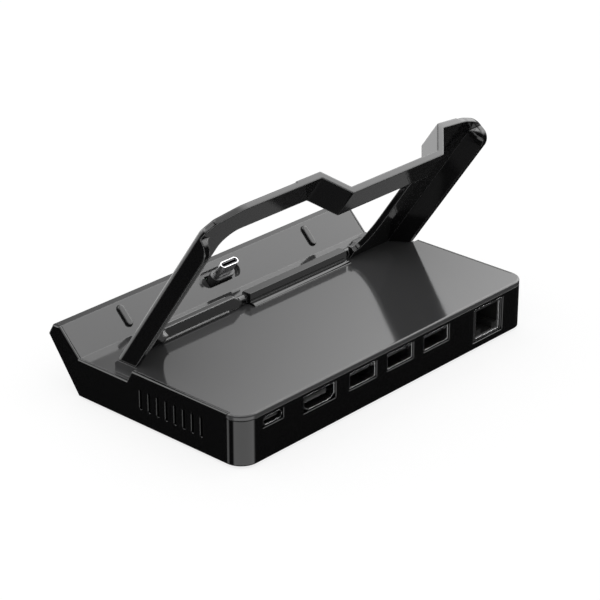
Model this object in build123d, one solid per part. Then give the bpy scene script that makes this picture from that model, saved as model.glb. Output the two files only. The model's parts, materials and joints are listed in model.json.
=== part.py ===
from build123d import *
import math
import os

# Desktop dock for a handheld console. Millimetres, +Z up, origin at the middle of the
# footprint on the surface that the dock stands on. The console's user sits towards -Y,
# the sockets face +Y, and the eight vent slots of each side wall face +X and -X.

# Case, overall
case_width = 147.0
case_depth = 90.4
foot_stand = 1.0
corner_r = 6.5
wall = 2.0
panel_t = 1.8

# Case, side profile: heights are above the case's bottom edge
deck_h = 18.0
tray_h = 13.6
lip_h = 22.7
lip_nose_h = 18.8
lip_top_depth = 3.0
lip_nose_depth = 2.3
front_slant = 13.7
deck_depth = 50.0
step_run = 2.5
shelf_front = 60.6
shelf_from_side = 1.35
shelf_chamfer = 1.2
lip_angle = 45.0

# Rim and inset top panel
rim_w = 1.2
panel_gap = 0.15
edge_round = 0.7

# Side vents
vent_count = 8
vent_pitch = 4.0
vent_w = 1.1
vent_h = 7.3
vent_rear = 17.9
vent_mid_h = 9.1

# Bottom cover, feet and cover screws
cover_t = 1.6
cover_gap = 0.2
foot_l = 18.0
foot_w = 7.0
foot_sunk = 0.7
foot_from_side = 16.0
foot_from_end = 9.0
slot_count = 9
slot_pitch = 6.0
slot_w = 1.8
slot_l = 12.0
slot_from_rear = 17.0
boss_r = 2.8
boss_top_h = 11.0
boss_from_side = 4.3
boss_from_rear = 8.0
boss_from_step = 1.0
boss_from_foot = 9.0
screw_r = 0.9
screw_head_r = 1.8
screw_head_t = 0.9
screw_l = 7.0
screw_sink = 1.0
thread_clear = 0.03
hole_clear = 0.15

# Stand frame: lengths run up the lean, depths run rearwards at a right angle to it
lean = 34.5
frame_from_side = 3.0
frame_len = 76.5
frame_t = 2.3
top_bar_h = 11.9
near_shoulder = ((14.5, 0.0), (4.0, 2.2), (0.0, 6.2))
far_shoulder = ((29.0, 0.0), (14.5, 2.3), (6.2, 5.8), (0.0, 10.3))
broad_r = 20.0
near_corner_r = 3.0
far_corner_r = 1.2
near_arm_w = 13.0
far_arm_w = 22.2
inner_r = 7.0
near_flange = (7.3, 67.9, 6.0)
far_flange = (7.7, 66.3, 4.6)
flange_t = 2.2
near_ridge_in = 4.3
far_ridge_in = 6.8
frame_front = 60.0
frame_edge_r = 0.9
jog_depth = 9.2
jog_near_start = 18.5
jog_near_end = 11.8
jog_far_start = 32.0
jog_far_end = 41.0
jog_tail = 11.5
jog_r = 0.7
stand_gap = 0.3

# Crossbar of the stand
bar_front = 60.1
bar_t = 2.6
bar_h = 4.9
bar_overlap = 4.0
bead_h = 0.5
knuckle_r = 1.6
knuckle_l = 3.0
knuckle_taper = 6.0
bead_out = 0.5
near_blend_in = 6.0
near_blend_len = 10.0
far_blend_in = 5.6
far_blend_len = 15.0

# Hinge pins, washers and hinge block
hinge_back = 58.95
hinge_up = 1.9
sweep_r = 1.6
pin_r = 0.65
pin_run_clear = 0.04
pin_press_clear = 0.01
pin_in_bar = 7.0
pin_in_block = 5.5
block_near = 10.2
block_end_gap = 8.1
block_rear = 56.5
block_h = 4.3
block_front = 1.5
block_foot_in = 1.1
block_round = 0.5
moulding_out = 2.5
moulding_top = 0.8
moulding_h = 1.0
bar_end_gap = 0.8
washer_t = 0.5
washer_r = 1.5
hinge_screw_apart = 24.0
hinge_screw_r = 0.7
hinge_screw_head_r = 1.4
hinge_screw_l = 3.0
hinge_screw_in = 0.85

# Console plug, its recess and the two lip pads
recess_l = 19.0
recess_w = 6.2
recess_up = 7.2
recess_floor = 1.8
seat_t = 1.6
seat_l = 27.0
seat_w = 8.0
plug_w = 8.34
plug_t = 2.56
plug_wall = 0.3
plug_tip_out = 0.4
plug_tip_h = 11.3
plug_mouth_w = 6.7
plug_mouth_h = 0.9
plug_mouth_d = 5.4
boot_w = 11.0
boot_t = 4.4
boot_top = 6.2
plug_board_t = 1.0
plug_board_l = 26.0
plug_board_w = 7.6
plug_screw_x = 11.2
plug_screw_r = 0.6
plug_screw_head_r = 1.2
plug_screw_head_t = 0.6
plug_screw_l = 2.2
pad_x = 46.8
pad_l = 8.4
pad_w = 2.8
pad_up = 7.3
pad_proud = 0.9
pad_sunk = 0.8
pad_gap = 0.05

# Board and sockets: the board hangs under the deck and its sockets hang under it
board_t = 1.0
board_under_deck = 2.2
board_from_side = 4.5
board_from_rear = 0.6
board_depth = 44.0
standoff_r = 2.5
board_screw_in = 5.0
board_screw_front = 4.4
board_screw_rear = 6.6
board_screw_mid_x = 20.0
board_screw_rear_x = (49.0, -36.5)
board_screw_bite = 1.4
socket_back = 0.4
cut_clear = 0.35
shell_t = 0.3
usb_c_from_side = 14.5
usb_c_w = 8.94
usb_c_h = 3.16
usb_c_d = 7.4
usb_c_tongue_w = 6.7
usb_c_tongue_t = 0.7
usb_c_tongue_l = 5.6
hdmi_x = 36.8
hdmi_w = 15.0
hdmi_h = 5.6
hdmi_d = 11.5
hdmi_taper = 2.2
hdmi_tongue_w = 10.2
hdmi_tongue_t = 1.7
hdmi_tongue_l = 8.5
usb_a_x = (15.4, -3.8, -23.0)
usb_a_w = 13.1
usb_a_h = 5.7
usb_a_d = 14.0
usb_a_tongue_w = 11.4
usb_a_tongue_t = 1.9
usb_a_tongue_l = 10.5
usb_a_tongue_drop = 0.5
jack_from_side = 21.9
jack_w = 15.9
jack_h = 12.2
jack_d = 15.0
jack_mouth_w = 11.9
jack_mouth_h = 7.6
jack_mouth_drop = 0.9
jack_mouth_d = 11.0
jack_latch_w = 6.2
jack_latch_h = 2.0
contact_count = 8
contact_pitch = 1.02
contact_w = 0.45

# Inner parts
chip_t = 1.0
hub_chip_x = -14.0
hub_chip_side = 9.0
video_chip_x = 30.0
video_chip_side = 11.0
network_chip_x = -46.0
network_chip_side = 7.0
chips_from_rear = 27.6
thermal_t = 0.5
spreader_t = 0.8
spreader_over = 2.0
spreader_w = 16.0
spreader_r = 2.0
spreader_rim_in = 4.0
spreader_rim_h = 3.5
coil_side = 5.0
coil_h = 3.0
coil_pitch = 7.0
coil_in = 3.0
coil_from_rear = 20.6
can_r = 2.0
can_h = 5.4
can_pairs_x = (-27.25, 8.75)
can_pitch = 5.5
can_from_rear = 15.6
ballast_t = 2.0
ballast_from_side = 23.5
ballast_from_front = 9.5
ballast_from_rear = 31.2
tape_t = 0.2
tape_w = 12.0
tape_x = 34.0
ribbon_t = 0.3
ribbon_w = 12.0
ribbon_on_board = 2.5
ribbon_drop = 2.7
ribbon_bend = 2.0

# Places worked out from the sizes above
half_w = case_width / 2
y_rear = case_depth / 2
z_base = foot_stand
z_deck = z_base + deck_h
z_tray = z_base + tray_h
z_lip = z_base + lip_h
z_nose = z_base + lip_nose_h
y_step_top = y_rear - deck_depth
y_step_foot = y_step_top - step_run
y_shelf = y_rear - shelf_front
y_corner = y_rear - corner_r
y_nose = -y_rear
y_lip_out = y_nose + lip_nose_depth
y_lip_in = y_lip_out + lip_top_depth
lip_rad = math.radians(lip_angle)
y_crease = y_lip_in + (lip_h - tray_h) / math.tan(lip_rad)
y_front_foot = y_nose + front_slant
pocket_half = half_w - rim_w
panel_half = pocket_half - panel_gap
shelf_half_w = panel_half - shelf_from_side
frame_half_w = half_w - frame_from_side
near_inner_x = frame_half_w - near_arm_w
far_inner_x = frame_half_w - far_arm_w
block_far = far_inner_x - block_end_gap
lean_rad = math.radians(lean)
up = Vector(0, math.sin(lean_rad), math.cos(lean_rad))
back = Vector(0, math.cos(lean_rad), -math.sin(lean_rad))
stand_foot = Vector(0, y_rear - frame_front, z_deck)
y_hinge = y_rear - hinge_back
z_hinge = z_deck + hinge_up
slope_out = Vector(0, math.sin(lip_rad), math.cos(lip_rad))
slope_up = Vector(0, -math.cos(lip_rad), math.sin(lip_rad))
crease = Vector(0, y_crease, z_tray)
plug_tip = Vector(0, y_crease - plug_tip_out, z_tray + plug_tip_h)
z_board_top = z_deck - board_under_deck
z_board = z_board_top - board_t
board_half_w = half_w - wall - board_from_side
y_board_rear = y_rear - wall - board_from_rear
y_board = (y_board_rear - board_depth, y_board_rear)
y_chips = y_board[1] - chips_from_rear
usb_c_x = half_w - usb_c_from_side
jack_x = jack_from_side - half_w
y_mouth = y_rear - socket_back
board_floor = recess_floor + seat_t
bar_near_end = block_near + bar_end_gap
bar_far_end = -block_far - bar_end_gap

# The side view of the case's upper face, from the rear edge to the lip's outer edge
rim_path = [(y_rear, z_deck), (y_step_top, z_deck), (y_step_foot, z_tray), (y_crease, z_tray)]
rim_path += [(y_lip_in, z_lip), (y_lip_out, z_lip)]
# The same over the shelf that carries the stand
shelf_path = [(y_rear, z_deck), (y_shelf, z_deck), (y_shelf, z_tray), (y_crease, z_tray)]
shelf_path += [(y_lip_in, z_lip), (y_lip_out, z_lip)]


def box(x0, x1, y0, y1, z0, z1):
    """A block between two corners."""
    middle = Pos((x0 + x1) / 2, (y0 + y1) / 2, (z0 + z1) / 2)
    return middle * Box(abs(x1 - x0), abs(y1 - y0), abs(z1 - z0))


def yz_prism(points, x0, x1):
    """A closed outline in the side view, drawn out along X."""
    outline = make_face(Polyline(*points, close=True))
    return extrude(Plane.YZ.offset(min(x0, x1)) * outline, amount=abs(x1 - x0))


def x_rod(radius, y, z, x0, x1):
    """A round bar along X."""
    place = Pos((x0 + x1) / 2, y, z) * Rot(0, 90, 0)
    return place * Cylinder(radius, abs(x1 - x0))


def z_rod(radius, x, y, z0, z1):
    """An upright round bar."""
    return Pos(x, y, (z0 + z1) / 2) * Cylinder(radius, abs(z1 - z0))


def offset_path(points, distance):
    """A path beside an open path, at an even distance on its right hand."""
    moved = []
    for a, b in zip(points, points[1:]):
        length = math.hypot(b[0] - a[0], b[1] - a[1])
        nx = (b[1] - a[1]) / length * distance
        ny = -(b[0] - a[0]) / length * distance
        moved.append(((a[0] + nx, a[1] + ny), (b[0] + nx, b[1] + ny)))
    path = [moved[0][0]]
    for (p, q), (r, s) in zip(moved, moved[1:]):
        ux, uy = q[0] - p[0], q[1] - p[1]
        vx, vy = s[0] - r[0], s[1] - r[1]
        along = ((r[0] - p[0]) * vy - (r[1] - p[1]) * vx) / (ux * vy - uy * vx)
        path.append((p[0] + along * ux, p[1] + along * uy))
    path.append(moved[-1][1])
    return path


def plan_outline(inset):
    """The case's outline in plan, with rounded rear corners, moved in by an even inset."""
    sheet = Rectangle(case_width - 2 * inset, case_depth - 2 * inset)
    rear = sheet.vertices().group_by(Axis.Y)[-1]
    return fillet(rear, corner_r - inset)


def slope_plane(up_slope, x=0.0, depth=0.0):
    """A plane on the lip's inner slope: its X runs along the lip, its Y up the slope."""
    origin = crease + slope_up * up_slope - slope_out * depth
    return Plane(Vector(x, origin.Y, origin.Z), x_dir=(1, 0, 0), z_dir=slope_out)


def boss_places():
    x = half_w - boss_from_side
    rows = (y_rear - boss_from_rear, y_step_top - boss_from_step, y_front_foot + boss_from_foot)
    return [(sign * x, y) for sign in (-1, 1) for y in rows]


def foot_places():
    x = half_w - foot_from_side
    rows = (y_rear - foot_from_end, y_front_foot + foot_from_end)
    return [(sign * x, y) for sign in (-1, 1) for y in rows]


def board_screw_places():
    x = board_half_w - board_screw_in
    y = y_board[0] + board_screw_front
    front = [(x, y), (-x, y), (board_screw_mid_x, y), (-board_screw_mid_x, y)]
    return front + [(x, y_board[1] - board_screw_rear) for x in board_screw_rear_x]


def hinge_screw_places():
    middle = (block_near - block_far) / 2
    y = y_rear - block_rear - hinge_screw_in
    return [(middle - hinge_screw_apart / 2, y), (middle + hinge_screw_apart / 2, y)]


# The case

def socket_cut(x, width, height):
    """The opening of the rear wall for one socket."""
    reach = width / 2 + cut_clear
    return box(x - reach, x + reach, y_rear - wall - 1, y_rear + 1,
               z_board - height - cut_clear, z_board + cut_clear)


def make_housing():
    outline = rim_path + [(y_nose, z_nose), (y_front_foot, z_base), (y_rear, z_base)]
    body = yz_prism(outline, -half_w, half_w)
    body &= extrude(plan_outline(0), amount=z_lip + 1)
    sides = body.edges().filter_by_position(Axis.X, half_w - 0.01, half_w + 0.01)
    sides += body.edges().filter_by_position(Axis.X, -half_w - 0.01, -half_w + 0.01)
    sides = [e for e in sides if e.center().Z > z_base + 1 and e.center().Y < y_corner - 1]
    body = fillet(sides, edge_round)
    top = z_lip + 5
    pocket = offset_path(rim_path, -panel_t)
    pocket += [(y_lip_out, top), (y_rear + 1, top), (y_rear + 1, z_deck - panel_t)]
    body -= yz_prism(pocket, -pocket_half, pocket_half)
    body -= box(-half_w - 1, half_w + 1, y_corner, y_rear + 1, z_deck - panel_t, top)
    below = 8.0
    slanted = y_front_foot + front_slant / lip_nose_h * below
    front = offset_path([(y_lip_out, z_lip), (y_nose, z_nose), (slanted, z_base - below)], -wall)
    hollow = [(y_rear - wall, z_base - below), (y_rear - wall, top), (front[0][0] + wall, top)]
    cavity = yz_prism(hollow + front, -half_w, half_w)
    body -= cavity & extrude(plan_outline(wall), amount=top + 1)
    z_cover = z_base + cover_t
    for x, y in boss_places():
        body += z_rod(boss_r, x, y, z_cover, z_base + boss_top_h)
        body -= z_rod(screw_r + thread_clear, x, y, z_cover - 1, z_cover + screw_l)
    for i in range(vent_count):
        y = y_rear - vent_rear - i * vent_pitch
        slot = Plane.YZ * Pos(y, z_base + vent_mid_h) * SlotOverall(vent_h, vent_w, rotation=90)
        body -= extrude(slot, amount=half_w + 1, both=True)
    body -= socket_cut(usb_c_x, usb_c_w, usb_c_h)
    body -= socket_cut(hdmi_x, hdmi_w, hdmi_h)
    for x in usb_a_x:
        body -= socket_cut(x, usb_a_w, usb_a_h)
    body -= socket_cut(jack_x, jack_w, jack_h)
    return body


def make_top_panel():
    rim_skin = rim_path + list(reversed(offset_path(rim_path, -panel_t)))
    shelf_skin = shelf_path + list(reversed(offset_path(shelf_path, -panel_t)))
    panel = yz_prism(rim_skin, -panel_half, panel_half)
    shelf_x = shelf_half_w
    inner_x = shelf_x - panel_t
    z_low = z_tray - panel_t
    panel -= box(-inner_x, inner_x, y_shelf - 1, y_step_top + 1, z_low - 1, z_deck + 1)
    panel += yz_prism(shelf_skin, -inner_x, inner_x)
    for sign in (-1, 1):
        panel += box(sign * inner_x, sign * shelf_x, y_shelf, y_step_top, z_low, z_deck)
    rear_band = extrude(plan_outline(0), amount=z_deck)
    rear_band &= box(-half_w, half_w, y_corner + panel_gap, y_rear, z_deck - panel_t, z_deck)
    panel += rear_band
    panel &= extrude(plan_outline(0), amount=z_lip + 1)
    outer = panel.edges().filter_by_position(Axis.Z, z_deck - 0.01, z_deck + 0.01)
    outer = [e for e in outer if e.center().Y > y_corner + 1]
    panel = fillet(outer, edge_round)
    y_edge, z_edge = y_shelf - 0.1, z_deck + 0.1
    cut = shelf_chamfer + 0.2
    panel -= yz_prism([(y_edge, z_edge), (y_edge + cut, z_edge), (y_edge, z_edge - cut)], -shelf_x, shelf_x)
    # recess of the plug, with a thicker seat below it
    seat = slope_plane(recess_up, depth=recess_floor) * Rectangle(seat_l, seat_w)
    panel += extrude(seat, amount=-seat_t)
    recess = slope_plane(recess_up) * SlotOverall(recess_l, recess_w)
    panel -= extrude(recess, amount=-recess_floor) + extrude(recess, amount=1)
    boot_hole = plug_plane() * Rectangle(boot_w + 2 * panel_gap, boot_t + 2 * panel_gap)
    panel -= extrude(boot_hole, amount=-40)
    for sign in (-1, 1):
        pad = SlotOverall(pad_l + 2 * pad_gap, pad_w + 2 * pad_gap, rotation=90)
        pad = slope_plane(pad_up, sign * pad_x) * pad
        panel -= extrude(pad, amount=-pad_sunk) + extrude(pad, amount=1)
        hole = slope_plane(recess_up, sign * plug_screw_x, board_floor)
        hole *= Circle(plug_screw_r + thread_clear)
        panel -= extrude(hole, amount=plug_screw_l)
    z_under = z_deck - panel_t
    for x, y in board_screw_places():
        panel += z_rod(standoff_r, x, y, z_board_top, z_under + 0.5)
        panel -= z_rod(screw_r + thread_clear, x, y, z_board_top - 1, z_board_top + board_screw_bite)
    for x, y in hinge_screw_places():
        panel -= z_rod(hinge_screw_r + hole_clear, x, y, z_under - 1, z_deck + 1)
    return panel


def make_bottom_cover():
    plan = plan_outline(wall + cover_gap)
    cover = Pos(0, 0, z_base) * extrude(plan, amount=cover_t)
    slant = wall / math.cos(math.atan2(front_slant, lip_nose_h))
    y_front = y_front_foot + slant + cover_gap
    cover -= box(-half_w, half_w, -y_rear - 1, y_front, z_base - 1, z_base + cover_t + 1)
    for x, y in foot_places():
        seat = Pos(x, y, z_base) * extrude(SlotOverall(foot_l + 0.1, foot_w + 0.1), amount=foot_sunk)
        cover -= seat
    for x, y in boss_places():
        cover -= z_rod(screw_r + hole_clear, x, y, z_base - 1, z_base + cover_t + 1)
        cover -= z_rod(screw_head_r + hole_clear, x, y, z_base - 1, z_base + screw_sink)
    for i in range(slot_count):
        x = (i - (slot_count - 1) / 2) * slot_pitch
        place = Pos(x, y_rear - slot_from_rear, z_base - 1)
        cover -= place * extrude(SlotOverall(slot_l, slot_w, rotation=90), amount=cover_t + 2)
    return cover


def make_rubber_feet():
    foot = extrude(SlotOverall(foot_l, foot_w), amount=foot_stand + foot_sunk)
    foot = chamfer(foot.edges().group_by(Axis.Z)[0], 0.3)
    return [Pos(x, y, 0) * foot for x, y in foot_places()]


def make_cover_screws():
    z_head = z_base + screw_sink
    screws = []
    for x, y in boss_places():
        screw = z_rod(screw_head_r, x, y, z_head - screw_head_t, z_head)
        screw += z_rod(screw_r, x, y, z_head, z_base + cover_t + screw_l - 0.6)
        screws.append(screw - cross_slot(x, y, z_head - screw_head_t, screw_head_r))
    return screws


def cross_slot(x, y, z_face, head_r):
    """The cross of a screw head whose face looks down."""
    depth = 0.5
    length = head_r * 1.1
    width = head_r * 0.22
    cross = box(x - length / 2, x + length / 2, y - width / 2, y + width / 2, z_face - 1, z_face + depth)
    cross += box(x - width / 2, x + width / 2, y - length / 2, y + length / 2, z_face - 1, z_face + depth)
    return cross


# The stand

def stand_plane(depth=0.0):
    """The leaning plane of the stand: X across, Y up the lean, Z towards the console."""
    return Plane(stand_foot + back * depth, x_dir=(1, 0, 0), z_dir=(0, -back.Y, -back.Z))


def section_plane(length):
    """A plane across the lean at a given length up it: X across, Y rearwards."""
    return Plane(stand_foot + up * length, x_dir=(1, 0, 0), z_dir=up)


def stand_outline():
    """The stand's outline: its far shoulder drops further than its near one."""
    w, top = frame_half_w, frame_len
    far = [(inward - w, top - drop) for inward, drop in far_shoulder]
    near = [(w - inward, top - drop) for inward, drop in near_shoulder]
    sheet = make_face(Polyline((-w, 0), *reversed(far), *near, (w, 0), close=True))
    for corners, radius in ((near[1:], near_corner_r), (far[-1:], far_corner_r), (near[:1] + far[:-1], broad_r)):
        at = [v for v in sheet.vertices() if min(math.dist((v.X, v.Y), c) for c in corners) < 0.01]
        sheet = fillet(at, radius)
    return sheet


def outline_shadow(depth):
    """The stand's outline drawn out rearwards, which trims what is added behind the plate."""
    return extrude(stand_plane() * stand_outline(), amount=-depth)


def stand_opening():
    """The opening between the arms, with a quarter of an ellipse in each lower corner."""
    top = frame_len - top_bar_h
    low = (bar_h - 0.1) / math.cos(lean_rad)
    width = near_inner_x + far_inner_x
    sheet = Pos((near_inner_x - far_inner_x) / 2, (top - 2) / 2) * Rectangle(width, top + 2)
    sheet = fillet(sheet.vertices().group_by(Axis.Y)[-1], inner_r)
    for x, sign, reach, rise in ((near_inner_x, 1, near_blend_in, near_blend_len),
                                 (-far_inner_x, -1, far_blend_in, far_blend_len)):
        middle = x - sign * reach
        corner = Pos((x + middle) / 2, low + rise / 2) * Rectangle(reach, rise)
        corner -= Pos(middle, low + rise) * Ellipse(reach, rise)
        foot = Pos((x + middle) / 2, low / 2 - 1) * Rectangle(reach, low + 2)
        sheet -= corner + foot
    return sheet


def make_jogged_bar():
    """The top bar where it steps back between the two slanting jogs."""
    front = [(jog_near_start + jog_tail, 0.0), (jog_near_start, 0.0), (jog_near_end, jog_depth)]
    front += [(-jog_far_start, jog_depth), (-jog_far_end, 0.0)]
    front += [(-jog_far_end - jog_tail, 0.0)]
    rear = offset_path(front, frame_t)
    sheet = make_face(Polyline(*front, *reversed(rear), close=True))
    bends = [v for v in sheet.vertices() if -jog_far_end - 4 < v.X < jog_near_start + 4]
    sheet = fillet(bends, jog_r)
    bar = extrude(section_plane(frame_len - top_bar_h) * sheet, amount=top_bar_h)
    return bar & outline_shadow(2 * jog_depth)


def make_flange(sign):
    """The rearward flange of one arm: a thin rim, rounded at its top, and a gusset to the ridge."""
    depth, length, top_r = near_flange if sign > 0 else far_flange
    w = frame_half_w
    inner = w - flange_t
    ridge = w - (near_ridge_in if sign > 0 else far_ridge_in)
    side = Plane(stand_foot, x_dir=up, z_dir=(-1, 0, 0))
    sheet = Pos(length / 2, depth / 2) * Rectangle(length, depth)
    corner = [v for v in sheet.vertices() if v.X > 1 and v.Y > 1]
    sheet = fillet(corner, top_r)
    rim = extrude(side * sheet, amount=w, both=True)
    rim &= box(sign * inner, sign * w, -y_rear, 2 * y_rear, 0, 2 * frame_len)
    edge = [e for e in rim.edges() if abs((e.center() - stand_foot).dot(back)) < 0.01]
    edge = [e for e in edge if abs(abs(e.center().X) - w) < 0.01]
    rim = fillet(edge, frame_edge_r)
    places = [(0.0, depth)]
    for turn in (0, 25, 45, 60, 72):
        angle = math.radians(turn)
        places.append((length - top_r + top_r * math.sin(angle), depth - top_r + top_r * math.cos(angle)))
    sections = []
    for along, deep in places:
        points = [(ridge, frame_t / 2), (ridge, frame_t), (inner, deep), (inner, frame_t / 2)]
        sections.append(section_plane(along) * make_face(Polyline(*[(sign * x, y) for x, y in points], close=True)))
    gusset = loft(sections, ruled=True)
    return (rim + gusset) & outline_shadow(2 * depth)


def make_crossbar_end(sign):
    """One piece of the crossbar, from its rounded end beside the hinge block into the arm."""
    end = bar_near_end if sign > 0 else bar_far_end
    into = near_inner_x + bar_overlap if sign > 0 else -far_inner_x - bar_overlap
    y0 = y_rear - bar_front
    y1 = y0 + bar_t
    z0 = z_deck + stand_gap
    z1 = z_deck + bar_h
    bar = box(end, into, y0, y1, z0, z1)
    bar &= make_knuckle(sign, end, into)
    bead_end = end + sign * (knuckle_l + knuckle_taper)
    points = [(y1 - 0.2, z0), (y1 + bead_out, z0), (y1 + bead_out, z0 + bead_h), (y1 - 0.2, z0 + bead_h + 0.2)]
    bar += yz_prism(points, bead_end, into)
    # closes the wedge between the upright bar and the leaning arm
    inner = end_of_blend(sign)
    fill = [(y1 - 0.4, z0 + 1.5), (y1 - 0.4, z1), (y1 + 1.3, z1), (y1 + 0.3, z0 + 1.5)]
    return bar + yz_prism(fill, inner, into)


def make_knuckle(sign, end, into):
    """What a crossbar piece keeps: a round knuckle about the axis, a cone, then the full bar."""
    cone_start = end + sign * knuckle_l
    cone_end = cone_start + sign * knuckle_taper
    wide_r = knuckle_r + 3.0
    keep = x_rod(knuckle_r, y_hinge, z_hinge, end, cone_start)
    radii = (knuckle_r, wide_r) if sign > 0 else (wide_r, knuckle_r)
    cone = Rot(0, 90, 0) * Cone(radii[0], radii[1], knuckle_taper)
    keep += Pos((cone_start + cone_end) / 2, y_hinge, z_hinge) * cone
    return keep + box(cone_end, into + sign * 1, y_hinge - 9, y_hinge + 9, z_hinge - 9, z_hinge + 9)


def end_of_blend(sign):
    if sign > 0:
        return near_inner_x - near_blend_in
    return -far_inner_x + far_blend_in


def make_stand_frame():
    plate = extrude(stand_plane() * stand_outline(), amount=-frame_t)
    rims = []
    for e in plate.edges():
        local = e.center() - stand_foot
        at_front = abs(local.dot(back)) < 0.01
        if at_front and abs(e.center().X) > near_inner_x and local.dot(up) > 1:
            rims.append(e)
    plate = fillet(rims, frame_edge_r)
    plate -= extrude(stand_plane(-1) * stand_opening(), amount=-(frame_t + 2))
    hole_w = jog_far_end + jog_near_start + jog_tail
    hole = Pos(hole_w / 2 - jog_far_end, frame_len - top_bar_h / 2) * Rectangle(hole_w, top_bar_h + 2)
    hole = stand_plane(-1) * hole
    plate -= extrude(hole, amount=-(frame_t + 2))
    frame = plate + make_jogged_bar()
    for sign in (-1, 1):
        frame += make_flange(sign)
        frame += make_crossbar_end(sign)
    z0 = z_deck + stand_gap
    frame -= box(-half_w, half_w, -y_rear, y_rear, z0 - frame_len, z0)
    # what sweeps under the hinge's axis keeps clear of the deck
    quarter = box(-half_w, half_w, y_hinge - 5, y_hinge, z_hinge - 5, z_hinge)
    quarter -= x_rod(sweep_r, y_hinge, z_hinge, -half_w - 1, half_w + 1)
    frame -= quarter
    for sign, end in ((1, bar_near_end), (-1, bar_far_end)):
        bore = pin_r + pin_press_clear
        frame -= x_rod(bore, y_hinge, z_hinge, end - sign * 1, end + sign * (pin_in_bar + 0.2))
    return frame


def make_hinge_block():
    """A bar on the deck between the knuckles, with a low rounded moulding along its rear foot."""
    y_face = y_rear - block_rear
    y_front = y_hinge - block_front
    top = z_deck + block_h
    points = [(y_front + block_foot_in, z_deck), (y_face, z_deck), (y_face, top)]
    points += [(y_front + block_round, top), (y_front, top - block_round), (y_front, z_hinge)]
    block = yz_prism(points, -block_far, block_near)
    toe, crown = (y_face + moulding_out, z_deck), (y_face + moulding_top, z_deck + moulding_h)
    swell = 0.18 * moulding_h
    middle = ((toe[0] + crown[0]) / 2 + swell, (toe[1] + crown[1]) / 2 + swell)
    foot = Polyline((y_face - 1, z_deck + moulding_h), (y_face - 1, z_deck), toe)
    lid = Line(crown, (y_face - 1, z_deck + moulding_h))
    sheet = make_face([*foot.edges(), ThreePointArc(toe, middle, crown), lid])
    block += extrude(Plane.YZ.offset(-block_far) * sheet, amount=block_near + block_far)
    for face, sign in ((block_near, 1), (-block_far, -1)):
        bore = pin_r + pin_run_clear
        block -= x_rod(bore, y_hinge, z_hinge, face + sign, face - sign * (pin_in_block + 0.3))
    for x, y_screw in hinge_screw_places():
        bore = hinge_screw_r + thread_clear
        block -= z_rod(bore, x, y_screw, z_deck - 1, z_deck + hinge_screw_l - panel_t + 0.2)
    return block


def make_hinge_pins():
    near = x_rod(pin_r, y_hinge, z_hinge, block_near - pin_in_block, bar_near_end + pin_in_bar)
    far = x_rod(pin_r, y_hinge, z_hinge, -block_far + pin_in_block, bar_far_end - pin_in_bar)
    return [chamfer(pin.edges().filter_by(GeomType.CIRCLE), 0.15) for pin in (near, far)]


def make_hinge_washers():
    washers = []
    for x0, x1 in ((block_near, block_near + washer_t), (-block_far - washer_t, -block_far)):
        washer = x_rod(washer_r, y_hinge, z_hinge, x0, x1)
        washers.append(washer - x_rod(pin_r + pin_run_clear, y_hinge, z_hinge, x0 - 1, x1 + 1))
    return washers


def make_hinge_screws():
    z_under = z_deck - panel_t
    screws = []
    for x, y in hinge_screw_places():
        screw = z_rod(hinge_screw_head_r, x, y, z_under - screw_head_t, z_under)
        screw += z_rod(hinge_screw_r, x, y, z_under, z_under + hinge_screw_l)
        screws.append(screw - cross_slot(x, y, z_under - screw_head_t, hinge_screw_head_r))
    return screws


# The console plug and lip

def plug_plane(down=0.0):
    """A plane across the plug, a given way down from its tip: X across, Z out of the plug."""
    return Plane(plug_tip - up * down, x_dir=(1, 0, 0), z_dir=up)


def above_plug_board():
    """Everything on the outer side of the plug board's upper face."""
    return extrude(slope_plane(recess_up, depth=board_floor) * Rectangle(case_width, case_width), amount=case_width)


def make_plug_shell():
    tube = extrude(plug_plane() * SlotOverall(plug_w, plug_t), amount=-20)
    inner = SlotOverall(plug_w - 2 * plug_wall, plug_t - 2 * plug_wall)
    tube -= extrude(plug_plane(-1) * inner, amount=-22)
    return tube & above_plug_board()


def make_plug_insert():
    inner = SlotOverall(plug_w - 2 * plug_wall, plug_t - 2 * plug_wall)
    insert = extrude(plug_plane(0.25) * inner, amount=-20)
    mouth = Rectangle(plug_mouth_w, plug_mouth_h)
    insert -= extrude(plug_plane(-1) * mouth, amount=-(plug_mouth_d + 1))
    return insert & above_plug_board()


def make_plug_boot():
    boot = extrude(plug_plane(boot_top) * SlotOverall(boot_w, boot_t), amount=-20)
    boot -= extrude(plug_plane(-1) * SlotOverall(plug_w, plug_t), amount=-30)
    return boot & above_plug_board()


def make_plug_board():
    board = slope_plane(recess_up, depth=board_floor) * Rectangle(plug_board_l, plug_board_w)
    board = extrude(board, amount=-plug_board_t)
    for sign in (-1, 1):
        hole = slope_plane(recess_up, sign * plug_screw_x, board_floor - 1) * Circle(plug_screw_r + 0.1)
        board -= extrude(hole, amount=-5)
    return board


def make_plug_screws():
    screws = []
    for sign in (-1, 1):
        face = slope_plane(recess_up, sign * plug_screw_x, board_floor + plug_board_t)
        screw = extrude(face * Circle(plug_screw_head_r), amount=-plug_screw_head_t)
        screws.append(screw + extrude(face * Circle(plug_screw_r), amount=plug_screw_l))
    return screws


def make_lip_pads():
    pads = []
    for sign in (-1, 1):
        sheet = slope_plane(pad_up, sign * pad_x, pad_sunk) * SlotOverall(pad_l, pad_w, rotation=90)
        pad = extrude(sheet, amount=pad_sunk + pad_proud)
        outer = [f for f in pad.faces().filter_by(GeomType.PLANE)]
        outer = sorted(outer, key=lambda f: f.center().dot(slope_out))[-1]
        pads.append(fillet(outer.edges(), 0.4))
    return pads


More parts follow.
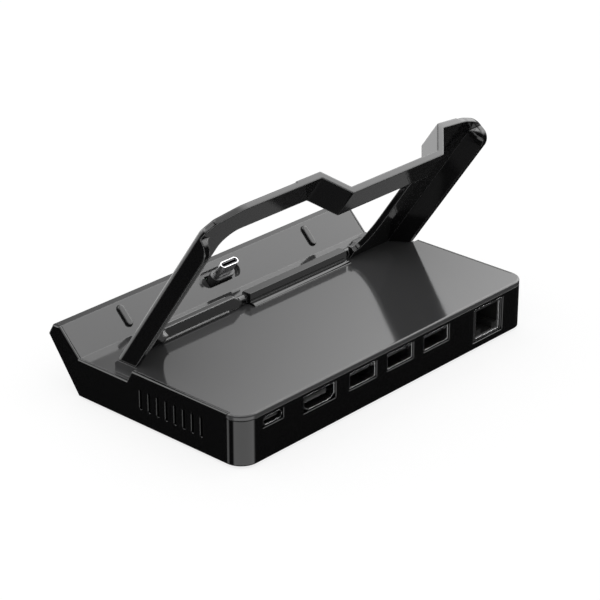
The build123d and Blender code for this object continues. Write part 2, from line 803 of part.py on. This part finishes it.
def make_link_ribbon():
    low = z_tray - ribbon_drop
    path = [(y_board[0] + ribbon_on_board, z_board), (y_board[0] - 1.0, z_board)]
    path += [(y_step_foot - ribbon_bend, low), (y_crease - 2.2, low)]
    for along in (3.0, 6.0):
        at = crease + slope_up * along - slope_out * (board_floor + plug_board_t)
        path.append((at.Y, at.Z))
    under = offset_path(path, -ribbon_t)
    return yz_prism(path + list(reversed(under)), -ribbon_w / 2, ribbon_w / 2)


# The main board and sockets

def make_main_board():
    board = box(-board_half_w, board_half_w, y_board[0], y_board[1], z_board, z_board_top)
    for x, y in board_screw_places():
        board -= z_rod(screw_r + hole_clear, x, y, z_board - 1, z_board_top + 1)
    return board


def make_board_screws():
    screws = []
    for x, y in board_screw_places():
        screw = z_rod(screw_head_r, x, y, z_board - screw_head_t, z_board)
        screw += z_rod(screw_r, x, y, z_board, z_board_top + board_screw_bite - 0.2)
        screws.append(screw - cross_slot(x, y, z_board - screw_head_t, screw_head_r))
    return screws


def hang(sheet, x, height, y_from, length):
    """A shape of the rear view, hung under the board at x and drawn forwards from y_from."""
    plane = Plane((x, y_from, z_board - height / 2), x_dir=(1, 0, 0), z_dir=(0, -1, 0))
    return extrude(plane * sheet, amount=length)


def make_usb_c_shell():
    shell = hang(SlotOverall(usb_c_w, usb_c_h), usb_c_x, usb_c_h, y_mouth, usb_c_d)
    inner = SlotOverall(usb_c_w - 2 * shell_t, usb_c_h - 2 * shell_t)
    return shell - hang(inner, usb_c_x, usb_c_h, y_mouth + 1, usb_c_d + 1 - shell_t)


def make_usb_c_tongue():
    y_end = y_mouth - usb_c_d + shell_t
    inner = SlotOverall(usb_c_w - 2 * shell_t, usb_c_h - 2 * shell_t)
    root = hang(inner, usb_c_x, usb_c_h, y_end + 1.0, 1.0)
    sheet = Rectangle(usb_c_tongue_w, usb_c_tongue_t)
    return root + hang(sheet, usb_c_x, usb_c_h, y_end + usb_c_tongue_l + 0.5, usb_c_tongue_l + 0.5)


def hdmi_sheet(inset):
    w = hdmi_w / 2 - inset
    h = hdmi_h / 2 - inset
    cut = hdmi_taper - inset * 0.4
    points = [(-w, -h + 1.4), (-w, h), (w, h), (w, -h + 1.4), (w - cut, -h), (-w + cut, -h)]
    return make_face(Polyline(*points, close=True))


def make_video_shell():
    shell = hang(hdmi_sheet(0), hdmi_x, hdmi_h, y_mouth, hdmi_d)
    return shell - hang(hdmi_sheet(shell_t), hdmi_x, hdmi_h, y_mouth + 1, hdmi_d + 1 - shell_t)


def make_video_tongue():
    y_end = y_mouth - hdmi_d + shell_t
    root = hang(hdmi_sheet(shell_t), hdmi_x, hdmi_h, y_end + 1.5, 1.5)
    sheet = Rectangle(hdmi_tongue_w, hdmi_tongue_t)
    return root + hang(sheet, hdmi_x, hdmi_h, y_end + hdmi_tongue_l + 1, hdmi_tongue_l + 1)


def make_usb_a_shell(x):
    shell = hang(Rectangle(usb_a_w, usb_a_h), x, usb_a_h, y_mouth, usb_a_d)
    inner = Rectangle(usb_a_w - 2 * shell_t, usb_a_h - 2 * shell_t)
    return shell - hang(inner, x, usb_a_h, y_mouth + 1, usb_a_d + 1 - shell_t)


def make_usb_a_tongue(x):
    y_end = y_mouth - usb_a_d + shell_t
    inner = Rectangle(usb_a_w - 2 * shell_t, usb_a_h - 2 * shell_t)
    root = hang(inner, x, usb_a_h, y_end + 2.0, 2.0)
    lift = usb_a_h / 2 - shell_t - usb_a_tongue_drop - usb_a_tongue_t / 2
    sheet = Pos(0, lift) * Rectangle(usb_a_tongue_w, usb_a_tongue_t)
    return root + hang(sheet, x, usb_a_h, y_end + usb_a_tongue_l + 1, usb_a_tongue_l + 1)


def make_jack_shield():
    shield = hang(Rectangle(jack_w, jack_h), jack_x, jack_h, y_mouth, jack_d)
    inner = Rectangle(jack_w - 2 * shell_t, jack_h - 2 * shell_t)
    shield -= hang(inner, jack_x, jack_h, y_mouth - shell_t, jack_d - 2 * shell_t)
    window = Rectangle(jack_w - 3.0, jack_h - 1.6)
    return shield - hang(window, jack_x, jack_h, y_mouth + 1, 2)


def make_jack_body():
    body = hang(Rectangle(jack_w - 2 * shell_t, jack_h - 2 * shell_t), jack_x, jack_h,
                y_mouth - shell_t, jack_d - 2 * shell_t)
    lift = jack_h / 2 - jack_mouth_drop - jack_mouth_h / 2
    body -= hang(Pos(0, lift) * Rectangle(jack_mouth_w, jack_mouth_h), jack_x, jack_h,
                 y_mouth + 1, jack_mouth_d + 1)
    low = lift - jack_mouth_h / 2 - jack_latch_h / 2
    body -= hang(Pos(0, low) * Rectangle(jack_latch_w, jack_latch_h + 0.02), jack_x, jack_h,
                 y_mouth + 1, jack_mouth_d - 1)
    return body


def make_jack_contacts():
    """Spring wires that slope down into the jack's mouth from its ceiling."""
    z_top = z_board - jack_mouth_drop
    y_in = y_mouth - jack_mouth_d
    wires = []
    for i in range(contact_count):
        x = jack_x + (i - (contact_count - 1) / 2) * contact_pitch
        path = [(y_mouth - 3.0, z_top), (y_mouth - 3.6, z_top), (y_in + 1.5, z_top - 2.6), (y_in, z_top - 2.6)]
        path = [(y_mouth - 2.2, z_top)] + path[1:]
        low = offset_path(path, -0.35)
        wires.append(yz_prism(path + list(reversed(low)), x - contact_w / 2, x + contact_w / 2))
    return wires


# Inner parts on the board and the cover

def chip(x, side):
    y0, y1 = y_chips - side / 2, y_chips + side / 2
    body = box(x - side / 2, x + side / 2, y0, y1, z_board - chip_t, z_board)
    return chamfer(body.edges().group_by(Axis.Z)[0], 0.15)


def make_thermal_pads():
    z = z_board - chip_t
    pads = []
    places = ((hub_chip_x, hub_chip_side), (video_chip_x, video_chip_side), (network_chip_x, network_chip_side))
    for x, side in places:
        reach = side / 2 - 0.5
        pads.append(box(x - reach, x + reach, y_chips - reach, y_chips + reach, z - thermal_t, z))
    return pads


def make_heat_spreader():
    z = z_board - chip_t - thermal_t
    x0 = network_chip_x - network_chip_side / 2 - spreader_over
    x1 = video_chip_x + video_chip_side / 2 + spreader_over
    y0, y1 = y_chips - spreader_w / 2, y_chips + spreader_w / 2
    plate = box(x0, x1, y0, y1, z - spreader_t, z)
    plate = fillet(plate.edges().filter_by(Axis.Z), spreader_r)
    rim = box(x0 + spreader_rim_in, x1 - spreader_rim_in, y0, y0 + spreader_t, z - spreader_rim_h, z)
    return plate + rim


def make_coils():
    coils = []
    x_out, y_front = board_half_w - coil_in, y_board[1] - coil_from_rear
    y_back = y_front + coil_pitch
    for x, y in ((x_out, y_front), (x_out, y_back), (x_out - coil_pitch, y_back)):
        half = coil_side / 2
        body = box(x - half, x + half, y - half, y + half, z_board - coil_h, z_board)
        coils.append(chamfer(body.edges().filter_by(Axis.Z), 0.8))
    return coils


def make_cans():
    cans = []
    y = y_board[1] - can_from_rear
    for x in [middle + side * can_pitch / 2 for middle in can_pairs_x for side in (-1, 1)]:
        can = z_rod(can_r, x, y, z_board - can_h, z_board)
        cans.append(fillet(can.edges().group_by(Axis.Z)[0], 0.4))
    return cans


def ballast_rows():
    return y_front_foot + ballast_from_front, y_rear - ballast_from_rear


def make_ballast():
    z = z_base + cover_t + tape_t
    x = half_w - ballast_from_side
    plate = box(-x, x, ballast_rows()[0], ballast_rows()[1], z, z + ballast_t)
    return fillet(plate.edges().filter_by(Axis.Z), 3.0)


def make_ballast_tapes():
    z = z_base + cover_t
    y0, y1 = ballast_rows()[0] + 3, ballast_rows()[1] - 3
    return [box(x - tape_w / 2, x + tape_w / 2, y0, y1, z, z + tape_t) for x in (-tape_x, tape_x)]


if __name__ == "__main__":
    os.makedirs("parts", exist_ok=True)
    pieces = {
        "housing": make_housing(),
        "top_panel": make_top_panel(),
        "bottom_cover": make_bottom_cover(),
        "rubber_feet": make_rubber_feet(),
        "cover_screws": make_cover_screws(),
        "stand_frame": make_stand_frame(),
        "hinge_block": make_hinge_block(),
        "hinge_pins": make_hinge_pins(),
        "hinge_washers": make_hinge_washers(),
        "hinge_screws": make_hinge_screws(),
        "plug_shell": make_plug_shell(),
        "plug_insert": make_plug_insert(),
        "plug_boot": make_plug_boot(),
        "plug_board": make_plug_board(),
        "plug_screws": make_plug_screws(),
        "lip_pads": make_lip_pads(),
        "link_ribbon": make_link_ribbon(),
        "main_board": make_main_board(),
        "board_screws": make_board_screws(),
        "power_shell": make_usb_c_shell(),
        "power_tongue": make_usb_c_tongue(),
        "video_shell": make_video_shell(),
        "video_tongue": make_video_tongue(),
        "network_shield": make_jack_shield(),
        "network_body": make_jack_body(),
        "network_contacts": make_jack_contacts(),
        "hub_chip": chip(hub_chip_x, hub_chip_side),
        "video_chip": chip(video_chip_x, video_chip_side),
        "network_chip": chip(network_chip_x, network_chip_side),
        "thermal_pads": make_thermal_pads(),
        "heat_spreader": make_heat_spreader(),
        "power_coils": make_coils(),
        "capacitors": make_cans(),
        "ballast_plate": make_ballast(),
        "ballast_tapes": make_ballast_tapes(),
    }
    for number, x in enumerate(usb_a_x, start=1):
        pieces["data_shell_%d" % number] = make_usb_a_shell(x)
        pieces["data_tongue_%d" % number] = make_usb_a_tongue(x)
    for name, piece in pieces.items():
        if isinstance(piece, list):
            piece = Compound(children=piece)
        export_step(piece, "parts/%s.step" % name)
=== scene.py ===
import json
import math

import bpy
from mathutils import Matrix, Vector

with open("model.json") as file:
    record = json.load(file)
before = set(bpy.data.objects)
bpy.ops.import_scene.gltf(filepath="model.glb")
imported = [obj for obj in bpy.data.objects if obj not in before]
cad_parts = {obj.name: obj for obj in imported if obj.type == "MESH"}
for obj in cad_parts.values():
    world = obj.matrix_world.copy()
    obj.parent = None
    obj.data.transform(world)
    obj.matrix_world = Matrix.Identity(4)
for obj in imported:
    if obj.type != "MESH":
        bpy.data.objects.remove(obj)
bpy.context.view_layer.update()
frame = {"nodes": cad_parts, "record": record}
scene = bpy.context.scene
nodes = frame["nodes"]
scene.view_settings.view_transform = "Standard"

# ---- sizes (metres, degrees) and strengths that are used below ----

PLASTIC_IOR = 1.5
GLOSS_SPREAD = 0.15         # roughness varies by this share of itself
NOISE_LOW = 0.3             # the share of a noise that is used
NOISE_HIGH = 0.7
CLOUD = (60.0, 4.0, 0.6)    # scale, detail and roughness of the uneven gloss
GRAIN = (900.0, 3.0, 0.6)   # and of the surface grain
GRAIN_DEPTH = 0.0002
EDGE_SAMPLES = 12
PAINTED_HIGHLIGHT_START = 0.94            # cosine of the turn of a rounded edge where its painted highlight begins
PAINTED_HIGHLIGHT_FULL = 0.76             # and where it is full

# where the painted highlight along the near arm's front edge lies
STAND_LEAN = 34.5           # the stand's front plane leans back by this
FRONT_HIGHLIGHT_START = 0.0213   # distance from the origin along the front plane's normal
FRONT_HIGHLIGHT_FULL = 0.0220
OUTER_SIDE_START = 0.0690   # the outer side of the near arm, along x
OUTER_SIDE_FULL = 0.0695

FLOOR_REACH = 4.0
FLOOR_GREY = 0.93           # for the light that the floor passes on
FLOOR_SHADOW_GREY = 0.3     # seen by the camera: this much takes the object's shadow,
FLOOR_GLOW = 0.78           # and this much is plain white

SURROUNDING_GREY = 0.03     # what glossy faces mirror where no light is
PLAIN_WHITE = 1.0
HORIZON = (-22, -8)         # elevations between which the sky's lights set in
GROUND_BOTTOM = (-37, -31)  # the ground's lights set in,
GROUND_TOP = (-20, -24)     # and end

# the camera fitted to the photo
CAMERA_SENSOR = 36.0
CAMERA_LENS = 134.2
CAMERA_PLACE = (0.5171, 0.4761, 0.3495)
CAMERA_BACKWARDS = Vector((0.6682, 0.6117, 0.4234))
CAMERA_NEAR = 0.01
CAMERA_FAR = 50.0


# ---- small tools for node trees ----

def new_tree(name):
    material = bpy.data.materials.new(name)
    material.use_nodes = True
    tree = material.node_tree
    tree.nodes.clear()
    return material, tree


def add(tree, kind, **values):
    node = tree.nodes.new(kind)
    for key, value in values.items():
        setattr(node, key, value)
    return node


def feed(tree, value, socket):
    """Links an output to an input, or sets the input to a plain value."""
    if isinstance(value, bpy.types.NodeSocket):
        tree.links.new(value, socket)
    else:
        socket.default_value = value


def math_node(tree, operation, a, b):
    node = add(tree, "ShaderNodeMath", operation=operation)
    feed(tree, a, node.inputs[0])
    feed(tree, b, node.inputs[1])
    return node.outputs[0]


def dot(tree, a, b):
    node = add(tree, "ShaderNodeVectorMath", operation="DOT_PRODUCT")
    feed(tree, a, node.inputs[0])
    feed(tree, b, node.inputs[1])
    return node.outputs["Value"]


def ramp(tree, value, start, end, low=0.0, high=1.0, kind="SMOOTHSTEP"):
    """Maps start..end of a value onto low..high."""
    node = add(tree, "ShaderNodeMapRange", interpolation_type=kind)
    node.inputs["From Min"].default_value = start
    node.inputs["From Max"].default_value = end
    node.inputs["To Min"].default_value = low
    node.inputs["To Max"].default_value = high
    tree.links.new(value, node.inputs["Value"])
    return node.outputs["Result"]


def noise(tree, kind, stretch):
    """Noise in the object's own coordinates, in metres."""
    scale, detail, roughness = kind
    place = add(tree, "ShaderNodeTexCoord")
    mapping = add(tree, "ShaderNodeMapping")
    mapping.inputs["Scale"].default_value = stretch
    texture = add(tree, "ShaderNodeTexNoise")
    texture.inputs["Scale"].default_value = scale
    texture.inputs["Detail"].default_value = detail
    texture.inputs["Roughness"].default_value = roughness
    tree.links.new(place.outputs["Object"], mapping.inputs["Vector"])
    tree.links.new(mapping.outputs["Vector"], texture.inputs["Vector"])
    return texture.outputs["Fac"]


# ---- materials ----

def painted_front_highlight(tree):
    """The painted highlight along the front edge of the near arm's outer side: a light line
    painted into the colour where the rounded edge mirrors the bright surroundings.

    It lies in the stand's own coordinates, so it moves with the stand.
    """
    lean = math.radians(STAND_LEAN)
    place = add(tree, "ShaderNodeTexCoord").outputs["Object"]
    depth = dot(tree, place, (0, -math.cos(lean), math.sin(lean)))
    line = ramp(tree, depth, FRONT_HIGHLIGHT_START, FRONT_HIGHLIGHT_FULL)
    outer = ramp(tree, dot(tree, place, (1, 0, 0)), OUTER_SIDE_START, OUTER_SIDE_FULL)
    return math_node(tree, "MULTIPLY", line, outer)


def painted_highlight_color(tree, color, highlight_grey, rounded):
    """The colour with a painted highlight: a light line painted where a rounded edge turns away
    from the flat face.
    """
    flat = add(tree, "ShaderNodeNewGeometry").outputs["Normal"]
    line = ramp(tree, dot(tree, flat, rounded), PAINTED_HIGHLIGHT_START, PAINTED_HIGHLIGHT_FULL)
    # painted highlight: the base colour goes to a light grey along rounded edges and along the
    # front edge line
    mixed = add(tree, "ShaderNodeMix", data_type="RGBA")
    mixed.inputs["A"].default_value = (*color, 1)
    mixed.inputs["B"].default_value = (highlight_grey, highlight_grey, highlight_grey, 1)
    tree.links.new(math_node(tree, "MAXIMUM", line, painted_front_highlight(tree)), mixed.inputs["Factor"])
    return mixed.outputs["Result"]


def surface(name, color, rough, metal=0.0, edge=0.0, grain=0.0, stretch=(1, 1, 1), highlight_grey=0.0):
    """A principled surface with uneven gloss, a fine grain and softly rounded edges.

    The last argument is the grey of the painted highlights, thin light lines painted into the
    base colour along the stand's rounded edges.
    """
    material, tree = new_tree(name)
    shader = add(tree, "ShaderNodeBsdfPrincipled")
    shader.inputs["Base Color"].default_value = (*color, 1)
    shader.inputs["Metallic"].default_value = metal
    shader.inputs["IOR"].default_value = PLASTIC_IOR
    gloss = ramp(tree, noise(tree, CLOUD, stretch), NOISE_LOW, NOISE_HIGH,
                 rough * (1 - GLOSS_SPREAD), rough * (1 + GLOSS_SPREAD), "LINEAR")
    tree.links.new(gloss, shader.inputs["Roughness"])
    normal = None
    if edge:
        bevel = add(tree, "ShaderNodeBevel", samples=EDGE_SAMPLES)
        bevel.inputs["Radius"].default_value = edge
        normal = bevel.outputs["Normal"]
    # painted highlights: thin light lines on the rounded edges, painted into the base colour
    if highlight_grey:
        tree.links.new(painted_highlight_color(tree, color, highlight_grey, normal), shader.inputs["Base Color"])
    if grain:
        bump = add(tree, "ShaderNodeBump")
        bump.inputs["Strength"].default_value = grain
        bump.inputs["Distance"].default_value = GRAIN_DEPTH
        tree.links.new(noise(tree, GRAIN, stretch), bump.inputs["Height"])
        if normal is not None:
            tree.links.new(normal, bump.inputs["Normal"])
        normal = bump.outputs["Normal"]
    if normal is not None:
        tree.links.new(normal, shader.inputs["Normal"])
    out = add(tree, "ShaderNodeOutputMaterial")
    tree.links.new(shader.outputs["BSDF"], out.inputs["Surface"])
    return material


looks = {
    # seen in the photo
    # painted light: the deck is the same black gloss plastic as the case, its base colour
    # lightened to stand in for the light falling on the top
    "deck": surface("deck_gloss", (0.055, 0.055, 0.056), 0.09, edge=0.0003),
    "case": surface("case_gloss", (0.003, 0.003, 0.0032), 0.06, edge=0.0005),
    # the stand's 0.2 grey is the colour of its painted highlights along rounded edges
    "stand": surface("stand_gloss", (0.004, 0.004, 0.0042), 0.06, edge=0.0008, highlight_grey=0.2),
    "pad": surface("pad_gloss", (0.008, 0.008, 0.008), 0.2, edge=0.0009),
    "boot": surface("boot_gloss", (0.035, 0.035, 0.036), 0.16, edge=0.0004),
    "block": surface("block_gloss", (0.004, 0.004, 0.0042), 0.08, edge=0.0002),
    "plug": surface("plug_plate", (0.8, 0.8, 0.81), 0.22, metal=1.0, edge=0.0003),
    "mouth": surface("mouth_plastic", (0.004, 0.004, 0.008), 0.35),
    # guessed
    "cover": surface("cover_grain", (0.012, 0.012, 0.013), 0.5, grain=0.25),
    "rubber": surface("soft_rubber", (0.012, 0.012, 0.012), 0.55, grain=0.15, edge=0.0002),
    "steel": surface("zinc_steel", (0.55, 0.55, 0.57), 0.32, metal=1.0, edge=0.0001),
    "black_steel": surface("blackened_steel", (0.03, 0.03, 0.031), 0.3, metal=1.0, edge=0.0001),
    "nylon": surface("nylon", (0.55, 0.55, 0.52), 0.45),
    "plated": surface("nickel_plate", (0.78, 0.78, 0.79), 0.16, metal=1.0, edge=0.00008),
    "socket_plastic": surface("socket_plastic", (0.012, 0.012, 0.012), 0.4),
    "contact": surface("gold_contact", (0.86, 0.62, 0.24), 0.22, metal=1.0),
    "board": surface("board_mask", (0.01, 0.11, 0.045), 0.3, grain=0.1),
    "chip": surface("chip_plastic", (0.02, 0.02, 0.021), 0.5, grain=0.2),
    "aluminium": surface("satin_aluminium", (0.72, 0.73, 0.75), 0.35, metal=1.0,
                         stretch=(1, 40, 1)),
    "thermal": surface("thermal_pad", (0.35, 0.4, 0.5), 0.8, grain=0.2),
    "ballast": surface("sheet_steel", (0.42, 0.42, 0.44), 0.4, metal=1.0, stretch=(1, 30, 1)),
    "tape": surface("white_tape", (0.8, 0.8, 0.78), 0.7, grain=0.2),
    "ribbon": surface("amber_film", (0.45, 0.2, 0.03), 0.25),
}
slots = {s["node"]: s["material_slot"] for s in frame["record"]["subparts"]}
# nodes that look otherwise than their material slot says
own_look = {
    "top_panel": "deck",
    "stand_frame": "stand",
    "hinge_block": "block",
    "hinge_pins": "black_steel",
    "hinge_washers": "cover",
    "lip_pads": "pad",
    "plug_boot": "boot",
    "plug_shell": "plug",
    "plug_insert": "mouth",
}
for name, item in nodes.items():
    item.data.materials.clear()
    item.data.materials.append(looks[own_look.get(name, slots[name])])


# ---- floor: white to the camera, with the object's shadow, and unseen in the gloss ----

floor_mesh = bpy.data.meshes.new("floor")
corners = [(-1, -1), (1, -1), (1, 1), (-1, 1)]
floor_mesh.from_pydata([(FLOOR_REACH * x, FLOOR_REACH * y, 0) for x, y in corners],
                       [], [(0, 1, 2, 3)])
floor = bpy.data.objects.new("floor", floor_mesh)
scene.collection.objects.link(floor)
floor_material, tree = new_tree("pale_floor")
passed_on = add(tree, "ShaderNodeBsdfDiffuse")
passed_on.inputs["Color"].default_value = (FLOOR_GREY, FLOOR_GREY, FLOOR_GREY, 1)
shadowed = add(tree, "ShaderNodeBsdfDiffuse")
shadowed.inputs["Color"].default_value = (
    FLOOR_SHADOW_GREY, FLOOR_SHADOW_GREY, FLOOR_SHADOW_GREY, 1)
glow = add(tree, "ShaderNodeEmission")
glow.inputs["Strength"].default_value = FLOOR_GLOW
to_camera = add(tree, "ShaderNodeAddShader")
tree.links.new(shadowed.outputs[0], to_camera.inputs[0])
tree.links.new(glow.outputs[0], to_camera.inputs[1])
floor_mix = add(tree, "ShaderNodeMixShader")
tree.links.new(add(tree, "ShaderNodeLightPath").outputs["Is Camera Ray"], floor_mix.inputs["Fac"])
tree.links.new(passed_on.outputs[0], floor_mix.inputs[1])
tree.links.new(to_camera.outputs[0], floor_mix.inputs[2])
tree.links.new(floor_mix.outputs[0], add(tree, "ShaderNodeOutputMaterial").inputs["Surface"])
floor.data.materials.append(floor_material)
floor.visible_glossy = False


# ---- surroundings: plain white, with soft lights for what the glossy faces mirror ----

# each light: azimuth, elevation, half-width, softness of its edge, strength
SKY_LIGHTS = [
    (162, 63, 51, 6, 2.4),
    (-175, 24, 31, 15, 2.55),
    (157, 41, 18, 8, 1.0),
    (143, 20, 12, 8, 2.0),
    (-55, 35, 22, 10, 4.5),
    (-38, 70, 22, 8, 2.5),
    (7, 43, 9, 5, 3.5),
    (-98, -6, 32, 8, 2.2),
]
GROUND_LIGHTS = [
    (60, -27, 53, 5, 2.3),
    (-34, -27, 4, 3, 1.5),
]

world = bpy.data.worlds.new("studio")
world.use_nodes = True
scene.world = world
sky = world.node_tree
sky.nodes.clear()
direction = add(sky, "ShaderNodeTexCoord").outputs["Generated"]
height = dot(sky, direction, (0, 0, 1))


def toward(azimuth, elevation):
    """A direction from two angles in degrees."""
    turn, rise = math.radians(azimuth), math.radians(elevation)
    return Vector((math.cos(rise) * math.cos(turn), math.cos(rise) * math.sin(turn),
                   math.sin(rise)))


def lobe(azimuth, elevation, wide, soft, strength):
    """A soft round light."""
    outer = math.cos(math.radians(wide + soft))
    inner = math.cos(math.radians(max(wide - soft, 0)))
    return ramp(sky, dot(sky, direction, toward(azimuth, elevation)), outer, inner, 0, strength)


def all_of(lights):
    total = 0.0
    for light in lights:
        total = math_node(sky, "ADD", lobe(*light), total)
    return total


def band(start, end):
    """Goes from 0 to 1 between two elevations, upwards or downwards."""
    return ramp(sky, height, math.sin(math.radians(start)), math.sin(math.radians(end)))


# the sky's lights end softly at the horizon, the ground's lights well above the nadir
upper = math_node(sky, "MULTIPLY", all_of(SKY_LIGHTS), band(*HORIZON))
lower = math_node(sky, "MULTIPLY", all_of(GROUND_LIGHTS), band(*GROUND_BOTTOM))
lower = math_node(sky, "MULTIPLY", lower, band(*GROUND_TOP))
mirrored = math_node(sky, "ADD", math_node(sky, "ADD", upper, lower), SURROUNDING_GREY)
glossy = add(sky, "ShaderNodeBackground")
sky.links.new(mirrored, glossy.inputs["Strength"])
plain = add(sky, "ShaderNodeBackground")
plain.inputs["Strength"].default_value = PLAIN_WHITE
sky_mix = add(sky, "ShaderNodeMixShader")
sky.links.new(add(sky, "ShaderNodeLightPath").outputs["Is Glossy Ray"], sky_mix.inputs["Fac"])
sky.links.new(plain.outputs[0], sky_mix.inputs[1])
sky.links.new(glossy.outputs[0], sky_mix.inputs[2])
sky.links.new(sky_mix.outputs[0], add(sky, "ShaderNodeOutputWorld").inputs["Surface"])


# ---- camera ----

camera_data = bpy.data.cameras.new("camera")
camera = bpy.data.objects.new("camera", camera_data)
scene.collection.objects.link(camera)
camera_data.sensor_width = CAMERA_SENSOR
camera_data.lens = CAMERA_LENS
camera_data.clip_start = CAMERA_NEAR
camera_data.clip_end = CAMERA_FAR
camera.location = CAMERA_PLACE
camera.rotation_mode = "QUATERNION"
camera.rotation_quaternion = (-CAMERA_BACKWARDS).to_track_quat("-Z", "Y")
scene.camera = camera
